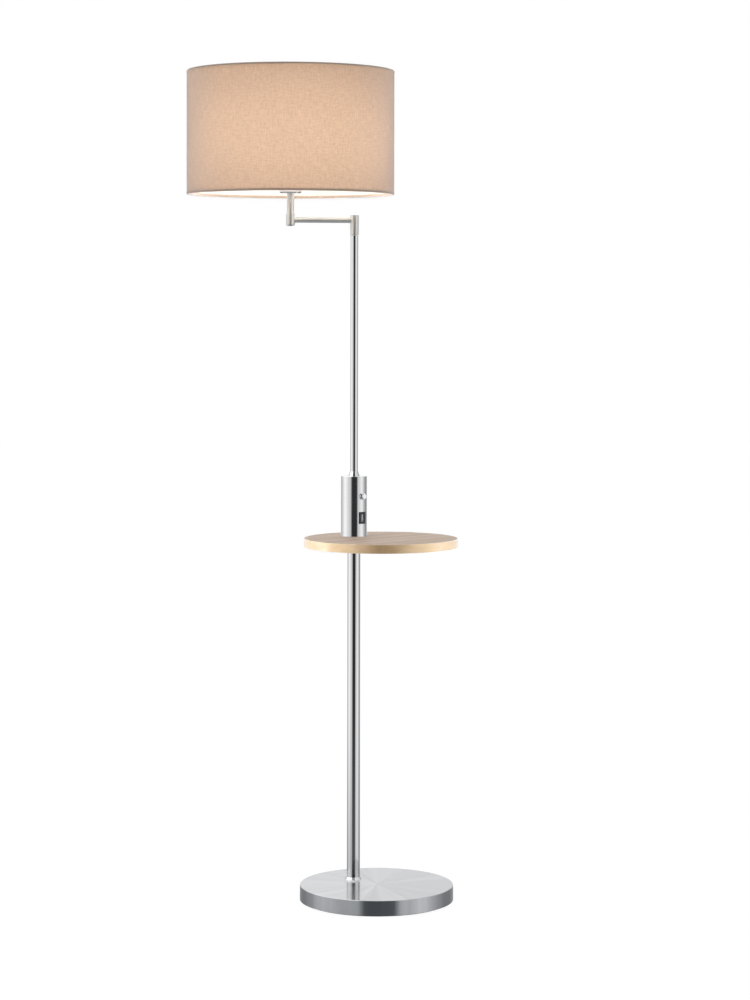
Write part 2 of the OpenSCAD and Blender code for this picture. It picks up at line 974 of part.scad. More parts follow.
module holder_contacts() {
    color("#c9a94f")
    at_head() {
        up(cavity_z) tube(cavity_r - seat, cavity_r - shell_t, bulb_neck_z - cavity_z);
        up(cavity_z) cylinder(r = contact_r, h = contact_h);
    }
}

module shade_spider() {
    color("#e8e6e2")
    at_head() {
        up(shoulder_z) tube(spider_r, neck_out_r + loose, spider_t);
        up(ring_low_z) ring_torus(ring_r, wire_d / 2);
        rotate([0, 0, -arm_turn])
            for (turn = spider_turns)
                rotate([0, 0, turn])
                    rod([spider_arm_r, 0, shoulder_z + wire_d / 2],
                        [ring_r, 0, ring_low_z], wire_d / 2);
    }
}

module shade_nut() {
    color("#f1efe9")
    at_head() up(shoulder_z + spider_t) tube(spider_r - wire_d, neck_out_r + seat, shade_nut_h);
}

module shade_top_ring() {
    color("#e8e6e2")
    at_head() up(ring_high_z) ring_torus(ring_r, wire_d / 2);
}

module shade_fabric() {
    color("#dcbd9d")
    at_head()
        difference() {
            union() {
                up(shade_z) cylinder(r = fabric_r, h = shade_h);
                up(shade_z) cylinder(r = shade_r, h = hem_h);
                up(shade_top - hem_h) cylinder(r = shade_r, h = hem_h);
            }
            up(shade_z - over) cylinder(r = lining_r, h = shade_h + 2 * over);
        }
}

module shade_lining() {
    color("#fbf6e8")
    at_head() up(shade_z) tube(lining_r - seat, lining_r - lining_t, shade_h);
}

module bulb_base() {
    color("#c4c6c9")
    at_head() {
        up(bulb_tip_z) cylinder(r1 = bulb_tip_r, r2 = bulb_base_r, h = bulb_base_z - bulb_tip_z);
        up(bulb_base_z) cylinder(r = bulb_base_r, h = bulb_neck_z - bulb_base_z);
    }
}

// Half profile of the globe and its neck, drawn in by shrink
module bulb_profile(shrink, foot_z) {
    // where the neck's cone meets the globe
    meet_r = 0.9 * bulb_r;
    meet_z = globe_z - sqrt(bulb_r * bulb_r - meet_r * meet_r);
    intersection() {
        union() {
            translate([0, globe_z]) circle(r = bulb_r - shrink);
            polygon([
                [0, foot_z],
                [bulb_base_r - shrink, foot_z],
                [meet_r - shrink, meet_z],
                [0, meet_z]
            ]);
        }
        translate([0, foot_z]) square([2 * bulb_r, globe_z + bulb_r - foot_z]);
    }
}

module bulb_globe() {
    color("#fff6dd")
    at_head()
        rotate_extrude()
            difference() {
                bulb_profile(0, bulb_neck_z);
                bulb_profile(glass_t, bulb_neck_z + glass_t);
            }
}

module head_wires() {
    color("#ece9e1")
    at_head()
        wire_pair()
            up(arm_z + bend_r + slack)
                cylinder(r = wire_r, h = cavity_z - partition_t - arm_z - bend_r - slack);
}

base_pad();
base_plate();
base_screws();
base_weight();
base_cover();
base_collar();
base_nipple();
nipple_nuts();
cable_grommet();
terminal_block();
lower_pole();
pole_plugs();
table_flange();
flange_screws();
table_top();
table_edge_band();
table_nipple();
housing_foot();
housing();
housing_cap();
upper_nipple();
upper_collar();
upper_pole_foot();
upper_pole();
pivot_spigot();
pivot_washer();
pivot_nut();
switch_bezel();
switch_body();
switch_nut();
switch_button();
usb_plate();
usb_shell();
usb_tongue();
usb_board();
wire_connector();
stand_wires();
arm_sleeve();
arm_sleeve_cap();
arm_tube();
end_sleeve();
end_plug();
arm_wires();
stub_tube();
stub_spigot();
stub_nut();
stub_head();
holder_nipple();
socket_cup();
lampholder();
holder_contacts();
shade_spider();
shade_nut();
shade_top_ring();
shade_fabric();
shade_lining();
bulb_base();
bulb_globe();
head_wires();
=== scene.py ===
"""Floor lamp with a side table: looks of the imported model, in metres, in the model's own frame."""
import json
import math

import bmesh
import bpy
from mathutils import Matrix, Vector


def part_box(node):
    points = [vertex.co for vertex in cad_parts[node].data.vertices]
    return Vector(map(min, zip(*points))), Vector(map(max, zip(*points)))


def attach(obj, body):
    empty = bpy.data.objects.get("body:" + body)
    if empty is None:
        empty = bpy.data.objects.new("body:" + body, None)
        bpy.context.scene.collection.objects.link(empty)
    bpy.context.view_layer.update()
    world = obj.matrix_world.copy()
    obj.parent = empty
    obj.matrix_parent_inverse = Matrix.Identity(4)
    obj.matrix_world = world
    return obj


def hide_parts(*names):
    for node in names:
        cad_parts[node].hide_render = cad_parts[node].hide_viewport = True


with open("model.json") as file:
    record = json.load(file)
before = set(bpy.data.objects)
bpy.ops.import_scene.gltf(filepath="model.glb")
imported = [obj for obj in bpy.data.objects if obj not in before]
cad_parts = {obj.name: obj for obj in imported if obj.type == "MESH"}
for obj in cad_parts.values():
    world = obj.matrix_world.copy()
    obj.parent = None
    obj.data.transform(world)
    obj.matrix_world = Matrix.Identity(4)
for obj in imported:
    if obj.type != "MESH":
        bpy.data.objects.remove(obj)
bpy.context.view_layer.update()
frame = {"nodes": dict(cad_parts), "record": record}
nodes = frame["nodes"]
scene = bpy.context.scene


# ---------------------------------------------------------------- places read from the frame
def middle(node):
    low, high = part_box(node)
    return (low + high) / 2


POLE = middle("lower_pole")
HEAD = middle("stub_tube")
SHADE_LOW, SHADE_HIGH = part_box("shade_fabric")
SHADE_R = (SHADE_HIGH.x - SHADE_LOW.x) / 2
SHADE_H = SHADE_HIGH.z - SHADE_LOW.z

# ---------------------------------------------------------------- camera
# A nearly level camera, 45 degrees to the front's left, which dips a little and whose frame is
# shifted down the rest of the way.
CAMERA_TURN = math.radians(-45)
CAMERA_SIDE = math.sin(CAMERA_TURN), -math.cos(CAMERA_TURN)   # from the lamp towards the camera
CAMERA_DISTANCE = 5.136
CAMERA_HEIGHT = 1.141
CAMERA_ASIDE = 0.0400
CAMERA_LENS = 95.6
CAMERA_SENSOR = 36
CAMERA_SHIFT = -0.1423
CAMERA_ROLL = math.radians(-0.108)
CAMERA_DIP = math.radians(1.1)
CAMERA_CLIP = 0.05, 60


def make_camera():
    towards = Vector((*CAMERA_SIDE, 0))
    right = Vector((-CAMERA_SIDE[1], CAMERA_SIDE[0], 0))
    data = bpy.data.cameras.new("camera")
    camera = bpy.data.objects.new("camera", data)
    scene.collection.objects.link(camera)
    place = Vector((POLE.x, POLE.y, 0)) + towards * CAMERA_DISTANCE + right * CAMERA_ASIDE
    camera.location = (place.x, place.y, CAMERA_HEIGHT)
    camera.rotation_euler = (math.radians(90) - CAMERA_DIP, CAMERA_ROLL, CAMERA_TURN)
    data.sensor_width = CAMERA_SENSOR
    data.lens = CAMERA_LENS
    data.shift_y = CAMERA_SHIFT
    data.clip_start, data.clip_end = CAMERA_CLIP
    scene.camera = camera


# ---------------------------------------------------------------- node helpers
def shaded(colour, share=1.0):
    """A linear colour with its alpha, darkened to a share of itself."""
    return (*[c * share for c in colour[:3]], 1)


def rgb(r, g, b):
    """A colour given as 0 to 255 screen levels, as a linear one."""
    return shaded([((c / 255 + 0.055) / 1.055) ** 2.4 if c > 10 else c / 255 / 12.92 for c in (r, g, b)])


class Tree:
    """A material or world node tree, built by short calls that return sockets."""

    def __init__(self, owner):
        owner.use_nodes = True
        self.tree = owner.node_tree
        self.tree.nodes.clear()

    def node(self, kind, **settings):
        n = self.tree.nodes.new(kind)
        for name, value in settings.items():
            setattr(n, name, value)
        return n

    def link(self, a, b):
        self.tree.links.new(a, b)

    def put(self, socket, value):
        if isinstance(value, bpy.types.NodeSocket):
            self.link(value, socket)
        else:
            socket.default_value = value

    def math(self, kind, a, b=0.0):
        n = self.node("ShaderNodeMath", operation=kind)
        self.put(n.inputs[0], a)
        self.put(n.inputs[1], b)
        return n.outputs[0]

    def towards(self, value, goal, share):
        """The value, moved by a share of its way to the goal."""
        return self.math("ADD", value, self.math("MULTIPLY", share, self.math("SUBTRACT", goal, value)))

    def mean(self, a, b, share=0.5):
        """A weighted mean; the share is that of the second value."""
        return self.math("ADD", self.math("MULTIPLY", a, 1 - share), self.math("MULTIPLY", b, share))

    def span(self, value, low, high, to_low=0.0, to_high=1.0):
        n = self.node("ShaderNodeMapRange")
        self.put(n.inputs["Value"], value)
        n.inputs["From Min"].default_value = low
        n.inputs["From Max"].default_value = high
        n.inputs["To Min"].default_value = to_low
        n.inputs["To Max"].default_value = to_high
        return n.outputs["Result"]

    def grey_ramp(self, value, stops):
        n = self.node("ShaderNodeValToRGB")
        self.put(n.inputs["Fac"], value)
        ramp = n.color_ramp
        while len(ramp.elements) < len(stops):
            ramp.elements.new(0.5)
        for element, (place, level) in zip(ramp.elements, stops):
            element.position = place
            element.color = (level, level, level, 1)
        return n.outputs["Color"]

    def place(self):
        return self.node("ShaderNodeTexCoord").outputs["Object"]

    def parts(self, vector):
        """X, Y and Z of a vector."""
        n = self.node("ShaderNodeSeparateXYZ")
        self.link(vector, n.inputs[0])
        return tuple(n.outputs)

    def vector(self, x=0.0, y=0.0, z=0.0):
        n = self.node("ShaderNodeCombineXYZ")
        for channel, value in zip(n.inputs, (x, y, z)):
            self.put(channel, value)
        return n.outputs[0]

    def on_vectors(self, kind, a, b=None):
        n = self.node("ShaderNodeVectorMath", operation=kind)
        self.link(a, n.inputs[0])
        if b is not None:
            self.put(n.inputs[1], b)
        return n.outputs["Value" if kind == "DOT_PRODUCT" else "Vector"]

    def scaled(self, vector, scale, offset=(0, 0, 0)):
        n = self.node("ShaderNodeMapping")
        self.put(n.inputs["Vector"], vector)
        n.inputs["Scale"].default_value = scale
        n.inputs["Location"].default_value = offset
        return n.outputs["Vector"]

    def noise(self, vector, scale, detail=3.0, rough=0.5, offset=(0, 0, 0)):
        """Noise with a scale for each direction, in features to the metre."""
        n = self.node("ShaderNodeTexNoise")
        self.put(n.inputs["Vector"], self.scaled(vector, scale, offset))
        n.inputs["Scale"].default_value = 1.0
        n.inputs["Detail"].default_value = detail
        n.inputs["Roughness"].default_value = rough
        return n.outputs["Fac"]

    def mix(self, factor, a, b, blend="MIX"):
        n = self.node("ShaderNodeMix", data_type="RGBA", blend_type=blend)
        self.put(n.inputs["Factor"], factor)
        self.put(n.inputs["A"], a)
        self.put(n.inputs["B"], b)
        return n.outputs["Result"]

    def varied(self, colour, share, pattern, low, high, most=1.0):
        """A colour that darkens towards a share of itself where the pattern is high."""
        return self.mix(self.span(pattern, low, high, 0.0, most), shaded(colour), shaded(colour, share))

    def uneven(self, rough, give, fine, broad, wear):
        """Roughness: a fine pattern moves it both ways and a broad one adds patches of wear."""
        return self.math("ADD", self.span(fine, 0.3, 0.7, rough - give, rough + give),
                         self.span(broad, 0.4, 0.8, 0.0, wear))

    def bump(self, height, depth, strength):
        """Relief of a pattern, with its depth in metres."""
        n = self.node("ShaderNodeBump")
        self.put(n.inputs["Height"], height)
        n.inputs["Distance"].default_value = depth
        n.inputs["Strength"].default_value = strength
        return n.outputs["Normal"]

    def principled(self, **values):
        n = self.node("ShaderNodeBsdfPrincipled")
        for name, value in values.items():
            self.put(n.inputs[name.replace("_", " ")], value)
        return n.outputs[0]

    def metal(self, **values):
        return self.principled(Metallic=1.0, **values)

    def coloured(self, kind, colour):
        """A shader that takes nothing but a colour."""
        n = self.node(kind)
        self.put(n.inputs["Color"], colour)
        return n.outputs[0]

    def see_through(self, colour):
        """Light that comes through a thin sheet."""
        return self.coloured("ShaderNodeBsdfTranslucent", colour)

    def blend(self, factor, a, b):
        n = self.node("ShaderNodeMixShader")
        self.put(n.inputs[0], factor)
        self.link(a, n.inputs[1])
        self.link(b, n.inputs[2])
        return n.outputs[0]

    def finish(self, shader, kind="ShaderNodeOutputMaterial"):
        out = self.node(kind)
        self.link(shader, out.inputs["Surface"])


def material(name):
    m = bpy.data.materials.new(name)
    return m, Tree(m)


# ---------------------------------------------------------------- studio
# What metal and lacquer reflect: grey levels of the room by direction, in degrees round the
# lamp from the camera's side, anticlockwise seen from above, with a dark side behind the camera.
ROOM = [
    (-180, 1.00), (-166, 0.95), (-148, 0.50), (-134, 0.56), (-118, 0.74), (-100, 0.98), (-85, 1.18),
    (-72, 1.08), (-58, 0.90), (-44, 0.78), (-28, 0.66), (-18, 0.03), (27, 0.03), (36, 0.72),
    (50, 0.80), (68, 1.04), (80, 0.98), (93, 0.68), (107, 0.48), (125, 0.30), (146, 0.44),
    (166, 0.95), (180, 1.00),
]
ROOM_PEAK = 1.25              # a level that no direction of the room reaches
# Heights in the room are sines of the angle above the horizon, and turns are degrees either way
# from the camera's side. Each pair says where a change starts and where it ends.
CEILING = 1.20                # level of the ceiling
CEILING_LEAN = 0.5            # how much it brightens to the left and darkens to the right
CEILING_RISE = 0.25, 0.50     # heights over which the ceiling comes in
CEILING_GAP = 24, 36          # turns over which it comes in beside the dark side
CEILING_TOP = 0.75, 0.95      # heights over which it comes in above the dark side as well
FLOOR_RISE = -0.22, -0.15     # heights over which the floor's mirror image gives way to the room
FLOOR_GLOSS = 0.58            # share of the room's level that the floor mirrors into the metal
FLOOR_LEAN = 0.30             # how much that share grows to the right and shrinks to the left
FLOOR_TURN = 100, 165         # turns over which it falls off behind the lamp
FLOOR_BEHIND = 0.35           # what is left of it there
FLOOR_DARK = 0.095            # level of the floor where the room is dark
FLOOR_TINT = 0.0, 0.015, 0.027   # the floor's cool cast
NEAR_RISE = -0.75, -0.35      # heights over which the floor right under what mirrors it gives way
NEAR_LEVEL = 0.34             # level of that floor
AMBIENT = 0.62                # even light on matt surfaces

FLOOR_WHITE = 0.92            # the floor's own white, and the grey that takes the shadow on top of it
FLOOR_GREY = 0.14
FLOOR_HALF = 14               # half of the floor's side
FLOOR_DROP = 0.0005           # it lies just below the lamp's pad

SIDE_LAMPS = (                # name, azimuth from the camera's side, power, tint
    ("left_box", -96, 10.4, (0.93, 1.07, 1.30)),
    ("right_box", 98, 9.8, (0.93, 1.08, 1.32)),
)
SIDE_DISTANCE = 3.2
SIDE_HEIGHT = 0.55
SIDE_SIZE = 2.2, 0.6
SIDE_SPREAD = math.radians(22)   # the boxes' grids keep their light off the shade


def make_world():
    world = bpy.data.worlds.new("studio")
    scene.world = world
    t = Tree(world)
    x, y, rise = t.parts(t.node("ShaderNodeTexCoord").outputs["Generated"])
    # angle round the lamp, 0 towards the camera's side
    to_x, to_y = CAMERA_SIDE
    along = t.math("ADD", t.math("MULTIPLY", x, to_x), t.math("MULTIPLY", y, to_y))
    across = t.math("SUBTRACT", t.math("MULTIPLY", y, to_x), t.math("MULTIPLY", x, to_y))
    angle = t.math("ARCTAN2", across, along)
    turn = t.math("ABSOLUTE", angle)
    whole = t.math("ADD", t.math("DIVIDE", angle, 2 * math.pi), 0.5)
    level = t.grey_ramp(whole, [((a + 180) / 360, level / ROOM_PEAK) for a, level in ROOM])
    level = t.math("MULTIPLY", level, ROOM_PEAK)

    beside = t.span(turn, *map(math.radians, CEILING_GAP))
    straight_up = t.span(rise, *CEILING_TOP)
    over = t.math("MULTIPLY", t.span(rise, *CEILING_RISE), t.math("MAXIMUM", beside, straight_up))
    ceiling = t.math("SUBTRACT", CEILING, t.math("MULTIPLY", across, CEILING_LEAN))
    level = t.towards(level, ceiling, over)

    below = t.span(rise, *FLOOR_RISE, 1.0, 0.0)
    behind = t.span(turn, *map(math.radians, FLOOR_TURN), 1.0, FLOOR_BEHIND)
    gloss = t.math("MULTIPLY", behind, t.math("ADD", t.math("MULTIPLY", across, FLOOR_LEAN), 1.0))
    mirrored = t.math("MULTIPLY", level, t.math("MULTIPLY", gloss, FLOOR_GLOSS))
    level = t.towards(level, t.math("ADD", mirrored, FLOOR_DARK), below)
    level = t.towards(level, NEAR_LEVEL, t.span(rise, *NEAR_RISE, 1.0, 0.0))

    seen = t.node("ShaderNodeCombineColor")
    for channel, tint in zip(seen.inputs, FLOOR_TINT):
        t.link(t.math("ADD", level, t.math("MULTIPLY", below, tint)), channel)
    path = t.node("ShaderNodeLightPath")
    light = t.mix(path.outputs["Is Diffuse Ray"], seen.outputs[0], (AMBIENT, AMBIENT, AMBIENT, 1))
    colour = t.mix(path.outputs["Is Camera Ray"], light, (1, 1, 1, 1))
    t.finish(t.coloured("ShaderNodeBackground", colour), "ShaderNodeOutputWorld")


def make_floor():
    """A pale floor that takes the lamp's shadow and that only the camera sees."""
    mesh = bpy.data.meshes.new("floor")
    corners = [(x * FLOOR_HALF, y * FLOOR_HALF, 0) for x, y in ((-1, -1), (1, -1), (1, 1), (-1, 1))]
    mesh.from_pydata(corners, [], [(0, 1, 2, 3)])
    floor = bpy.data.objects.new("floor", mesh)
    scene.collection.objects.link(floor)
    floor.location.z = -FLOOR_DROP
    m, t = material("floor")
    glow = t.node("ShaderNodeEmission")
    glow.inputs["Strength"].default_value = FLOOR_WHITE
    lit = t.node("ShaderNodeAddShader")
    t.link(t.coloured("ShaderNodeBsdfDiffuse", (FLOOR_GREY, FLOOR_GREY, FLOOR_GREY, 1)), lit.inputs[0])
    t.link(glow.outputs[0], lit.inputs[1])
    clear = t.node("ShaderNodeBsdfTransparent")
    is_camera = t.node("ShaderNodeLightPath").outputs["Is Camera Ray"]
    t.finish(t.blend(is_camera, clear.outputs[0], lit.outputs[0]))
    mesh.materials.append(m)


def make_lamps():
    """Two soft boxes at the sides, aimed at the table's height, which give its edge some form."""
    for name, azimuth, power, tint in SIDE_LAMPS:
        data = bpy.data.lights.new(name, "AREA")
        data.shape = "RECTANGLE"
        data.size, data.size_y = SIDE_SIZE
        data.spread = SIDE_SPREAD
        data.energy = power
        data.color = tint
        lamp = bpy.data.objects.new(name, data)
        scene.collection.objects.link(lamp)
        turn = CAMERA_TURN - math.pi / 2 + math.radians(azimuth)
        lamp.location = (SIDE_DISTANCE * math.cos(turn), SIDE_DISTANCE * math.sin(turn), SIDE_HEIGHT)
        aim = Vector((0, 0, SIDE_HEIGHT)) - lamp.location
        lamp.rotation_euler = aim.to_track_quat("-Z", "Y").to_euler()
        lamp.visible_camera = False
        lamp.visible_glossy = False


# ---------------------------------------------------------------- materials
UPRIGHT = 0.02, 0.03, 1.0     # close to the vertical, with no face of the lamp square to it

RINGS = 2600                  # the base's grooves, in features to the metre
PAINTED_FANS = 3.5                    # how many painted reflection fans the base's top shows, as a noise's scale
PAINTED_SHADE_LEAN = 0.085, -0.085, 0   # towards the half of the base's top that gets a painted shade, where the painted fans are duller
PAINTED_FAN_SPAN = 0.34, 0.66         # painted fan pattern from clear to dull
# colour by which the painted reflection fans and the painted shade darken the metal
PAINTED_FAN_SHADE = (0.83, 0.83, 0.84, 1)
TOP_FACING = 0.5, 0.9         # upward part of the normal, from the base's side to its top
LOBES = (0.0, 0.5), (0.22, 0.85)   # added roughness and stretch of its narrow and its wide shine
WIDE_SHARE = 0.24             # share of the wide one

GRAIN_SWAY = 0.02             # how far the oak's grain wanders sideways
PORE_DARK = 0.55              # its pores, as a share of the dark grain's colour
LACQUER_IOR = 2.2

WEAVE = 0.38, 0.62            # weave pattern from thin to thick
SLUB_SHARE = 0.55             # share of the thick threads in that pattern
CLOTH_CLOUD = 0.12            # how much it drifts over the whole cloth
HEM_BAND = 0.0030             # height of the edge that the ring and the fold shut off from the light
HEM_SOFT = 0.0008             # over which that edge fades
HEM_GLOW = (0.05, 0.035, 0.025, 1)
CLOTH_THROUGH = 0.72          # share of its light that comes through the cloth
HEM_THROUGH = 0.35            # and through its doubled edge
FIBRE_COLOUR = (0.78, 0.665, 0.62, 1)
FIBRE_RISE = 1.85             # power with which the fibres take over towards a flat angle
FILM_THROUGH = 0.50           # share of its light that comes through the backing film
BULB_STRENGTH = 62.0


def polished(name, colour, rough, wear=0.04):
    """Plated and polished metal, with faint lengthwise polishing lines and smears."""
    m, t = material(name)
    place = t.place()
    lines = t.noise(place, (900, 900, 14), 2.0)
    smears = t.noise(place, (14, 14, 5), 4.0, 0.6)
    t.finish(t.metal(Base_Color=t.varied(colour, 0.93, smears, 0.3, 0.8, 0.5),
                     Roughness=t.uneven(rough, 0.02, lines, smears, wear),
                     Normal=t.bump(lines, 0.00001, 0.25)))
    return m


def brushed_disc(name, colour, rough):
    """Spun metal: fine rings round the middle of the base, their crossed highlight, and painted
    reflection fans with a painted shade on one half of the top.
    """
    m, t = material(name)
    place = t.place()
    x, y, z = t.parts(place)
    radius = t.math("SQRT", t.math("ADD", t.math("POWER", x, 2), t.math("POWER", y, 2)))
    rings = t.vector(t.math("MULTIPLY", radius, RINGS), t.math("MULTIPLY", z, RINGS))
    grooves = t.noise(rings, (1, 1, 1), 3.0, 0.7)
    cloud = t.noise(place, (18, 18, 18), 4.0)
    roughness = t.uneven(rough, 0.04, grooves, cloud, 0.05)
    shade = t.varied(colour, 0.9, grooves, 0.35, 0.75, 0.6)
    # painted reflection: fans that run out from the middle darken the colour, and a painted shade
    # darkens one half of the top
    outwards = t.on_vectors("NORMALIZE", t.scaled(place, (1, 1, 0)))
    painted_fans = t.noise(outwards, (PAINTED_FANS, PAINTED_FANS, 1), 3.0, 0.6)
    up = t.parts(t.node("ShaderNodeNewGeometry").outputs["Normal"])[2]
    painted_lean = t.math("MULTIPLY", t.on_vectors("DOT_PRODUCT", outwards, PAINTED_SHADE_LEAN), t.span(up, *TOP_FACING))
    shade = t.mix(t.span(t.math("ADD", painted_fans, painted_lean), *PAINTED_FAN_SPAN), shade, PAINTED_FAN_SHADE, "MULTIPLY")
    shine = {
        "Base_Color": shade,
        "Anisotropic_Rotation": 0.25,
        "Tangent": t.node("ShaderNodeTangent", direction_type="RADIAL", axis="Z").outputs[0],
        "Normal": t.bump(grooves, 0.00002, 0.3),
    }
    lobes = [t.metal(Roughness=t.math("ADD", roughness, more), Anisotropic=stretch, **shine)
             for more, stretch in LOBES]
    t.finish(t.blend(WIDE_SHARE, *lobes))
    return m


def turned(name, colour, rough):
    """Nickel turned on a lathe: fine lines round it, so that what it mirrors runs up and down."""
    m, t = material(name)
    place = t.place()
    lines = t.noise(place, (40, 40, 3000), 2.0)
    smears = t.noise(place, (60, 60, 30), 4.0, 0.6)
    t.finish(t.metal(Base_Color=t.varied(colour, 0.93, smears, 0.3, 0.8, 0.6),
                     Roughness=t.span(smears, 0.3, 0.8, rough, rough + 0.04),
                     Anisotropic=0.85, Tangent=t.vector(*UPRIGHT),
                     Normal=t.bump(lines, 0.00001, 0.25)))
    return m


def brushed_tube(name, colour, rough):
    """Satin metal, brushed round the tube."""
    m, t = material(name)
    place = t.place()
    lines = t.noise(place, (30, 30, 2400), 3.0, 0.7)
    cloud = t.noise(place, (22, 22, 12), 4.0)
    t.finish(t.metal(Base_Color=t.varied(colour, 0.92, lines, 0.3, 0.7, 0.5),
                     Roughness=t.uneven(rough, 0.03, lines, cloud, 0.05),
                     Normal=t.bump(lines, 0.00001, 0.3)))
    return m


def oak(name, light, dark, ior, rough, lacquer, ring_scale=34.0):
    """Long oak grain along X, with pores and a few darker bands; the lacquer is a share."""
    m, t = material(name)
    place = t.place()
    wavy = t.noise(place, (3.0, 14, 14))
    bent = t.on_vectors("ADD", place, t.vector(y=t.span(wavy, 0, 1, -GRAIN_SWAY, GRAIN_SWAY)))
    bands = t.noise(bent, (1.2, ring_scale, ring_scale), 6.0, 0.65)
    pores = t.noise(place, (60, 1500, 1500), 2.0, 0.6)
    colour = t.mix(t.span(bands, 0.32, 0.68), light, dark)
    colour = t.mix(t.span(pores, 0.58, 0.72, 0.0, 0.55), colour, shaded(dark, PORE_DARK))
    roughness = t.math("ADD", t.span(bands, 0.3, 0.7, rough, rough + 0.06),
                       t.span(pores, 0.5, 0.75, 0.0, 0.15))
    t.finish(t.principled(Base_Color=colour, Roughness=roughness, IOR=ior,
                          Coat_Weight=lacquer, Coat_Roughness=0.35, Coat_IOR=LACQUER_IOR,
                          Sheen_Weight=lacquer, Sheen_Roughness=0.45,
                          Normal=t.bump(pores, 0.00006, 0.35)))
    return m


def plain(name, colour, rough, grain, grain_scale, metallic=0.0, speckle=0.12):
    """Moulded plastic, rubber, casting or plain plated steel: fine grain and a slight unevenness."""
    m, t = material(name)
    place = t.place()
    cloud = t.noise(place, (60, 60, 60), 4.0)
    fine = t.noise(place, (grain_scale,) * 3, 2.0)
    t.finish(t.principled(Base_Color=t.varied(colour, 1 - speckle, cloud, 0.3, 0.7), Metallic=metallic,
                          Roughness=t.span(cloud, 0.3, 0.7, rough - 0.04, rough + 0.04),
                          Normal=t.bump(fine, 0.00005, grain)))
    return m


def linen(name, outside, through):
    """Slubby plain weave, lit from behind: UVs are metres round and up the drum."""
    m, t = material(name)
    uv = t.node("ShaderNodeUVMap", uv_map="cloth").outputs["UV"]
    warp = t.noise(uv, (900, 160, 1), 3.0, 0.6)
    weft = t.noise(uv, (160, 900, 1), 3.0, 0.6, (3.7, 1.9, 0))
    slub = t.noise(uv, (420, 60, 1), 3.0, 0.6, (9.1, 0, 0))
    slub_across = t.noise(uv, (60, 420, 1), 3.0, 0.6, (0, 5.3, 0))
    cloud = t.noise(uv, (5, 4, 1), 2.0)
    thread = t.mean(warp, weft)
    pattern = t.mean(thread, t.mean(slub, slub_across), SLUB_SHARE)
    drift = t.math("MULTIPLY", t.math("SUBTRACT", cloud, 0.5), CLOTH_CLOUD)
    weave = t.span(t.math("ADD", pattern, drift), *WEAVE)

    def woven(colour, share):
        """A colour that is full in the thick of the weave and a share of itself in the thin."""
        return t.mix(weave, shaded(colour, share), colour)

    height = t.parts(uv)[1]
    to_edge = t.math("MINIMUM", height, t.math("SUBTRACT", SHADE_H, height))
    hem = t.span(to_edge, HEM_BAND, HEM_BAND + HEM_SOFT, 1.0, 0.0)
    front = t.principled(Base_Color=woven(outside, 0.80), Roughness=0.85, Specular_IOR_Level=0.0,
                         Normal=t.bump(thread, 0.0002, 0.5))
    behind = t.see_through(t.mix(hem, woven(through, 0.66), HEM_GLOW))
    cloth = t.blend(t.span(hem, 0.0, 1.0, CLOTH_THROUGH, HEM_THROUGH), front, behind)
    # sheen: loose fibres that stand off the cloth and catch the room's light at a flat angle
    fibres = t.coloured("ShaderNodeBsdfDiffuse", woven(FIBRE_COLOUR, 0.86))
    flat = t.math("POWER", t.node("ShaderNodeLayerWeight").outputs["Facing"], FIBRE_RISE)
    t.finish(t.blend(flat, cloth, fibres))
    return m


def film(name, colour):
    """Cream backing film of the shade, which lets light through."""
    m, t = material(name)
    cloud = t.noise(t.place(), (9, 9, 5), 4.0)
    shade = t.varied(colour, 0.95, cloud, 0.3, 0.7)
    t.finish(t.blend(FILM_THROUGH, t.principled(Base_Color=shade, Roughness=0.45), t.see_through(shade)))
    return m


def lit_glass(name):
    """Frosted globe, lit."""
    m, t = material(name)
    cloud = t.noise(t.place(), (70, 70, 70), 2.0)
    colour = t.mix(cloud, (1.0, 0.96, 0.90, 1), (1.0, 0.975, 0.93, 1))
    t.finish(t.principled(Base_Color=(0.9, 0.88, 0.84, 1), Roughness=0.35,
                          Emission_Color=colour, Emission_Strength=BULB_STRENGTH))
    return m


def make_materials():
    return {
        "nickel": polished("nickel", (0.79, 0.792, 0.80), 0.08),
        "brushed_nickel": brushed_disc("brushed_nickel", (0.60, 0.607, 0.62), 0.11),
        "turned_nickel": turned("turned_nickel", (0.79, 0.775, 0.745), 0.32),
        "worn_nickel": polished("worn_nickel", (0.79, 0.78, 0.755), 0.42),
        "satin_nickel": brushed_tube("satin_nickel", (0.82, 0.82, 0.83), 0.12),
        "chrome": polished("chrome", (0.88, 0.88, 0.90), 0.05, 0.02),
        "zinc_steel": plain("zinc_steel", (0.60, 0.61, 0.63), 0.34, 0.2, 1200, 1.0),
        "cast_iron": plain("cast_iron", (0.10, 0.10, 0.105), 0.62, 0.8, 500, 0.4, 0.3),
        "brass": plain("brass", (0.72, 0.58, 0.30), 0.28, 0.15, 1200, 1.0),
        "pad": plain("pad", (0.045, 0.045, 0.05), 0.85, 0.8, 1500),
        "black_plastic": plain("black_plastic", (0.014, 0.014, 0.016), 0.36, 0.35, 2500),
        "white_plastic": plain("white_plastic", (0.80, 0.79, 0.76), 0.32, 0.1, 1800),
        "tongue_plastic": plain("tongue_plastic", (0.85, 0.86, 0.86), 0.4, 0.1, 1800),
        "board": plain("board", (0.05, 0.22, 0.10), 0.4, 0.2, 1400),
        "wire": plain("wire", (0.75, 0.73, 0.68), 0.45, 0.1, 1500),
        "enamel": plain("enamel", (0.82, 0.81, 0.78), 0.3, 0.15, 900),
        "oak": oak("oak", rgb(221, 197, 175), rgb(190, 167, 147), 1.45, 0.5, 0.0),
        "oak_edge": oak("oak_edge", rgb(214, 174, 120), rgb(192, 152, 96), 1.6, 0.32, 1.0, 60.0),
        "shade_fabric": linen("shade_fabric", rgb(216, 196, 182), rgb(222, 193, 168)),
        "lining": film("lining", (0.95, 0.94, 0.91)),
        "frosted_glass": lit_glass("frosted_glass"),
    }


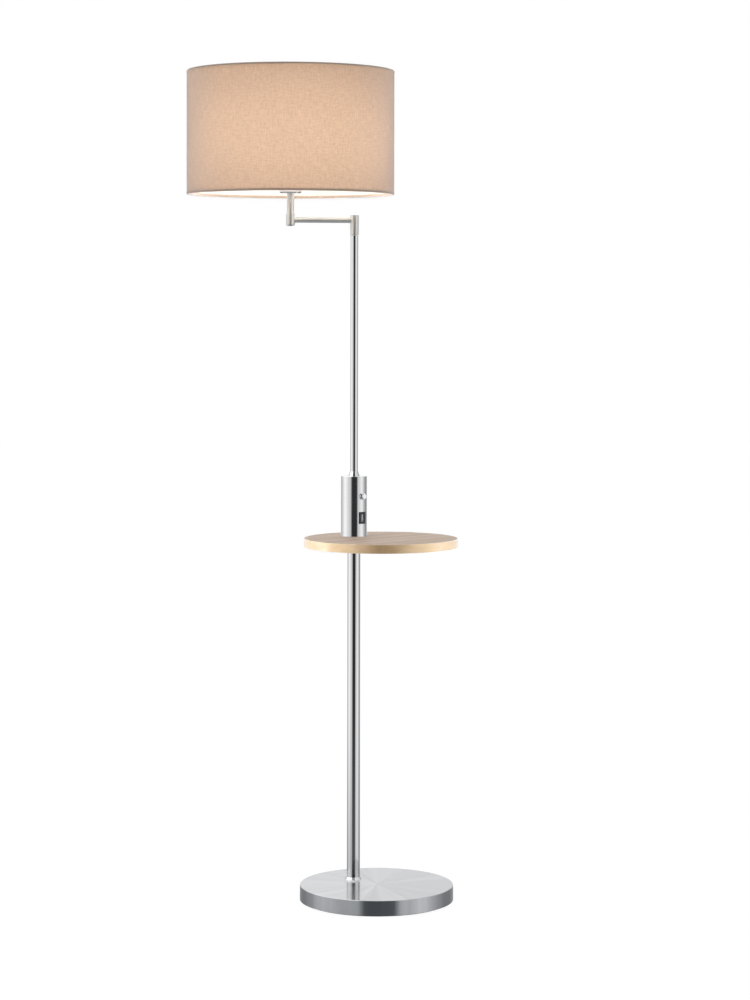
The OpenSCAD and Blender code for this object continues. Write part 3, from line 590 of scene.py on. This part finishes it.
FINISHES = {          # nodes whose finish differs from the rest of their slot
    "arm_sleeve": "turned_nickel", "arm_sleeve_cap": "turned_nickel", "end_sleeve": "turned_nickel",
    "stub_tube": "turned_nickel", "arm_tube": "worn_nickel", "usb_shell": "chrome",
}
UNMIRRORED = ("table_top", "table_edge_band", "bulb_globe")


def dress_cad(materials):
    """Gives every CAD node the material of its slot in the record, or its own finish of it."""
    for part in frame["record"]["subparts"]:
        mesh = nodes[part["node"]].data
        mesh.materials.clear()
        mesh.materials.append(materials[FINISHES.get(part["node"], part["material_slot"])])
    # as in the photograph, the housing mirrors the room down to its foot and the arm no bare bulb
    for name in UNMIRRORED:
        nodes[name].visible_glossy = False


# ---------------------------------------------------------------- shade
RIM_WIRE_R = 0.00175
RIM_INSET = 0.0036    # from the drum's side in to the middle of the ring's wire
CLOTH_T = 0.0004
HEM_TURN = 0.006      # how far the cloth is folded in behind each ring
HEM_ROUND = 0.004     # what the way round the ring takes up of the hem
HEM_GAP = 0.00005     # between the rim and the cloth's lowest or highest point
HEM_STEPS = 6
SWELL = (             # how far the cloth stands out round the ring, and at what distance from the rim
    (0.0003, 0.0040), (0.00012, 0.0048), (-0.0001, 0.0056),
)
DRUM_STEPS = 240
CLOTH_ROWS = 24
LINER_INSET = 0.0014  # from the drum's side in to the film
LINER_SHORT = 0.0012  # from the rim to the film's end
LINER_ROWS = 12


def drum_ring(r, z):
    """Points once round the drum."""
    turns = [2 * math.pi * i / DRUM_STEPS for i in range(DRUM_STEPS)]
    return [Vector((HEAD.x + r * math.cos(a), HEAD.y + r * math.sin(a), z)) for a in turns]


def sheet_mesh(name, profile, uv_name):
    """Open sheet of revolution with the profile's (radius, height) points; returns the object."""
    bm = bmesh.new()
    rings = [drum_ring(r, z) for r, z in profile]
    rows = [[bm.verts.new(p) for p in ring] for ring in rings]
    uv = bm.loops.layers.uv.new(uv_name)
    around = 2 * math.pi * SHADE_R
    for j in range(len(rows) - 1):
        for i in range(DRUM_STEPS):
            k = (i + 1) % DRUM_STEPS
            face = bm.faces.new((rows[j][i], rows[j][k], rows[j + 1][k], rows[j + 1][i]))
            face.smooth = True
            places = ((i, j), (i + 1, j), (i + 1, j + 1), (i, j + 1))
            for loop, (a, b) in zip(face.loops, places):
                loop[uv].uv = (a / DRUM_STEPS * around, rings[b][0].z - SHADE_LOW.z)
    mesh = bpy.data.meshes.new(name)
    bm.to_mesh(mesh)
    bm.free()
    piece = bpy.data.objects.new(name, mesh)
    scene.collection.objects.link(piece)
    return piece


def cloth_profile():
    """Half section of the cloth, (radius, height): folded in behind the rings at both ends."""
    side = SHADE_R - CLOTH_T
    fold = RIM_WIRE_R + CLOTH_T
    inner = SHADE_R - RIM_INSET - fold
    reach = (side + SWELL[0][0] - inner) / 2

    def end(z, sign):
        """From the hem's raw edge, round the wire, to the drum's side."""
        points = [(inner, z + sign * HEM_TURN), (inner, z + sign * HEM_ROUND)]
        for step in range(HEM_STEPS + 1):
            a = math.pi * step / HEM_STEPS
            rise = fold - fold * math.sin(a) + HEM_GAP
            points.append((inner + reach - reach * math.cos(a), z + sign * rise))
        return points + [(side + out, z + sign * up) for out, up in SWELL]

    out, up = SWELL[-1]
    rows = range(1, CLOTH_ROWS)
    middle_rows = [(side + out, SHADE_LOW.z + up + (SHADE_H - 2 * up) * k / CLOTH_ROWS) for k in rows]
    return end(SHADE_LOW.z, 1) + middle_rows + end(SHADE_HIGH.z, -1)[::-1]


def liner_profile():
    """Half section of the backing film, which ends just short of both rims."""
    height = SHADE_H - 2 * LINER_SHORT
    rows = range(LINER_ROWS + 1)
    return [(SHADE_R - LINER_INSET, SHADE_LOW.z + LINER_SHORT + height * k / LINER_ROWS) for k in rows]


def make_cloth(materials):
    cloth = sheet_mesh("shade_cloth", cloth_profile(), "cloth")
    cloth.data.materials.append(materials["shade_fabric"])
    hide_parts("shade_fabric")
    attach(cloth, "lamp_head")
    return cloth


def make_liner(materials):
    liner = sheet_mesh("shade_liner", liner_profile(), "film")
    liner.data.materials.append(materials["lining"])
    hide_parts("shade_lining")
    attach(liner, "lamp_head")
    return liner


# ---------------------------------------------------------------- the scene
make_camera()
make_world()
make_floor()
make_lamps()
materials = make_materials()
dress_cad(materials)
cloth = make_cloth(materials)
liner = make_liner(materials)

scene.view_settings.view_transform = "Standard"
